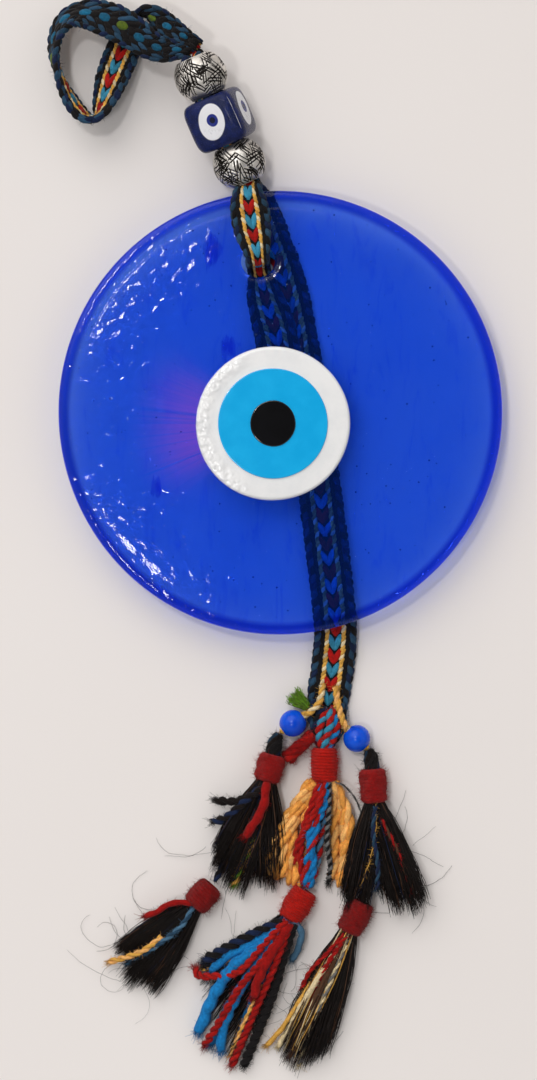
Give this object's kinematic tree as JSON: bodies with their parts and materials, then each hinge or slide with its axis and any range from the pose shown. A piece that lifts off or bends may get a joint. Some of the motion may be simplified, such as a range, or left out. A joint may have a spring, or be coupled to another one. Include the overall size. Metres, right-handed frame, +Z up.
{
  "type": "hanging glass eye ornament",
  "caption": "Cobalt glass disc with a layered glass eye on a braided wool strap with beads, a hanging loop and wool tassels.",
  "frame": {"origin": "on the table under the middle of the whole ornament as it lies face up", "axes": "+Z up out of the table towards the face of the eye, +Y towards the hanging loop, +X to the right seen from the front"},
  "size_m": [0.1342, 0.3163, 0.0217],
  "materials": {
    "cobalt_glass": "transparent poured cobalt glass, slightly rippled",
    "white_glass": "opaque white poured glass, glossy",
    "light_blue_glass": "opaque light blue poured glass, glossy",
    "black_glass": "opaque black poured glass, glossy",
    "braid": "wool braid in navy, slate blue, gold, dark red and light blue",
    "antique_silver": "antique silver with darkened engraved lines",
    "blue_glaze": "glossy cobalt glaze with painted white and blue eyes",
    "gold_yarn": "plied gold wool yarn",
    "blue_bead": "glossy opaque blue",
    "green_yarn": "cut end of green wool yarn",
    "red_wool": "wound red wool",
    "orange_wool": "loose orange wool",
    "tweed_yarn": "grey and black marled yarn",
    "blue_yarn": "plied blue wool yarn",
    "black_hair": "black wool and hair strands"
  },
  "bodies": {
    "strap": {"strap_front_leg": "braid", "strap_back_leg": "braid", "left_bead_cord": "gold_yarn", "right_bead_cord": "gold_yarn", "green_tuft": "green_yarn", "red_yarn_tail": "red_wool"},
    "disc": {"glass_disc": "cobalt_glass", "eye_white": "white_glass", "eye_light_blue": "light_blue_glass", "eye_pupil": "black_glass"},
    "loop": {"strap_loop": "braid"},
    "lower_bead": {"lower_silver_bead": "antique_silver"},
    "cube": {"cube_bead": "blue_glaze"},
    "upper_bead": {"upper_silver_bead": "antique_silver"},
    "left_bead": {"left_round_bead": "blue_bead"},
    "right_bead": {"right_round_bead": "blue_bead"},
    "left_tassel": {"left_neck": "black_hair", "left_upper_binding": "red_wool", "left_upper_fringe": "black_hair", "left_link_yarn": "black_hair"},
    "left_lower_tassel": {"left_lower_binding": "red_wool", "left_lower_fringe": "black_hair"},
    "centre_tassel": {"centre_upper_binding": "red_wool", "left_orange_tuft": "orange_wool", "right_orange_tuft": "orange_wool", "centre_link_yarns": "blue_yarn", "tweed_yarn": "tweed_yarn"},
    "centre_lower_tassel": {"centre_lower_binding": "red_wool", "centre_lower_yarns": "blue_yarn"},
    "right_tassel": {"right_neck": "black_hair", "right_upper_binding": "red_wool", "right_upper_fringe": "black_hair", "right_link_yarn": "black_hair"},
    "right_lower_tassel": {"right_lower_binding": "red_wool", "right_lower_fringe": "black_hair"}
  },
  "joints": [
    {"name": "disc_swing", "type": "hinge", "parent": "strap", "child": "disc", "pos_m": [-0.0047, 0.0807, 0.0113], "axis": [0, 0, 1], "range_deg": [-12, 12]},
    {"name": "loop_swing", "type": "hinge", "parent": "strap", "child": "loop", "pos_m": [-0.02505, 0.14255, 0.01443], "axis": [0, 0, 1], "range_deg": [-25, 8]},
    {"name": "lower_bead_spin", "type": "hinge", "parent": "strap", "child": "lower_bead", "pos_m": [-0.01022, 0.10942, 0.00914], "axis": [-0.4041, 0.9033, 0.1444], "continuous": true},
    {"name": "cube_spin", "type": "hinge", "parent": "strap", "child": "cube", "pos_m": [-0.01582, 0.12192, 0.01114], "axis": [-0.4041, 0.9033, 0.1444], "continuous": true},
    {"name": "upper_bead_spin", "type": "hinge", "parent": "strap", "child": "upper_bead", "pos_m": [-0.02141, 0.13442, 0.01313], "axis": [-0.4041, 0.9033, 0.1444], "continuous": true},
    {"name": "left_bead_spin", "type": "hinge", "parent": "strap", "child": "left_bead", "pos_m": [0.0056, -0.0555, 0.0042], "axis": [-0.8141, -0.5807, 0], "continuous": true},
    {"name": "right_bead_spin", "type": "hinge", "parent": "strap", "child": "right_bead", "pos_m": [0.0245, -0.06, 0.0042], "axis": [0.7071, -0.7071, 0], "continuous": true},
    {"name": "left_tassel_swing", "type": "hinge", "parent": "strap", "child": "left_tassel", "pos_m": [0.00161, -0.05835, 0.0042], "axis": [0, 0, 1], "range_deg": [-25, 3]},
    {"name": "left_lower_swing", "type": "hinge", "parent": "left_tassel", "child": "left_lower_tassel", "pos_m": [-0.01751, -0.10257, 0.004], "axis": [0, 0, 1], "range_deg": [-12, 12]},
    {"name": "centre_tassel_swing", "type": "hinge", "parent": "strap", "child": "centre_tassel", "pos_m": [0.0149, -0.0621, 0.004], "axis": [0, 0, 1], "range_deg": [-3, 3]},
    {"name": "centre_lower_swing", "type": "hinge", "parent": "centre_tassel", "child": "centre_lower_tassel", "pos_m": [0.0099, -0.1038, 0.004], "axis": [0, 0, 1], "range_deg": [-4, 5]},
    {"name": "right_tassel_swing", "type": "hinge", "parent": "strap", "child": "right_tassel", "pos_m": [0.02796, -0.06346, 0.0042], "axis": [0, 0, 1], "range_deg": [-3, 25]},
    {"name": "right_lower_swing", "type": "hinge", "parent": "right_tassel", "child": "right_lower_tassel", "pos_m": [0.02666, -0.10724, 0.004], "axis": [0, 0, 1], "range_deg": [-4, 15]}
  ]
}
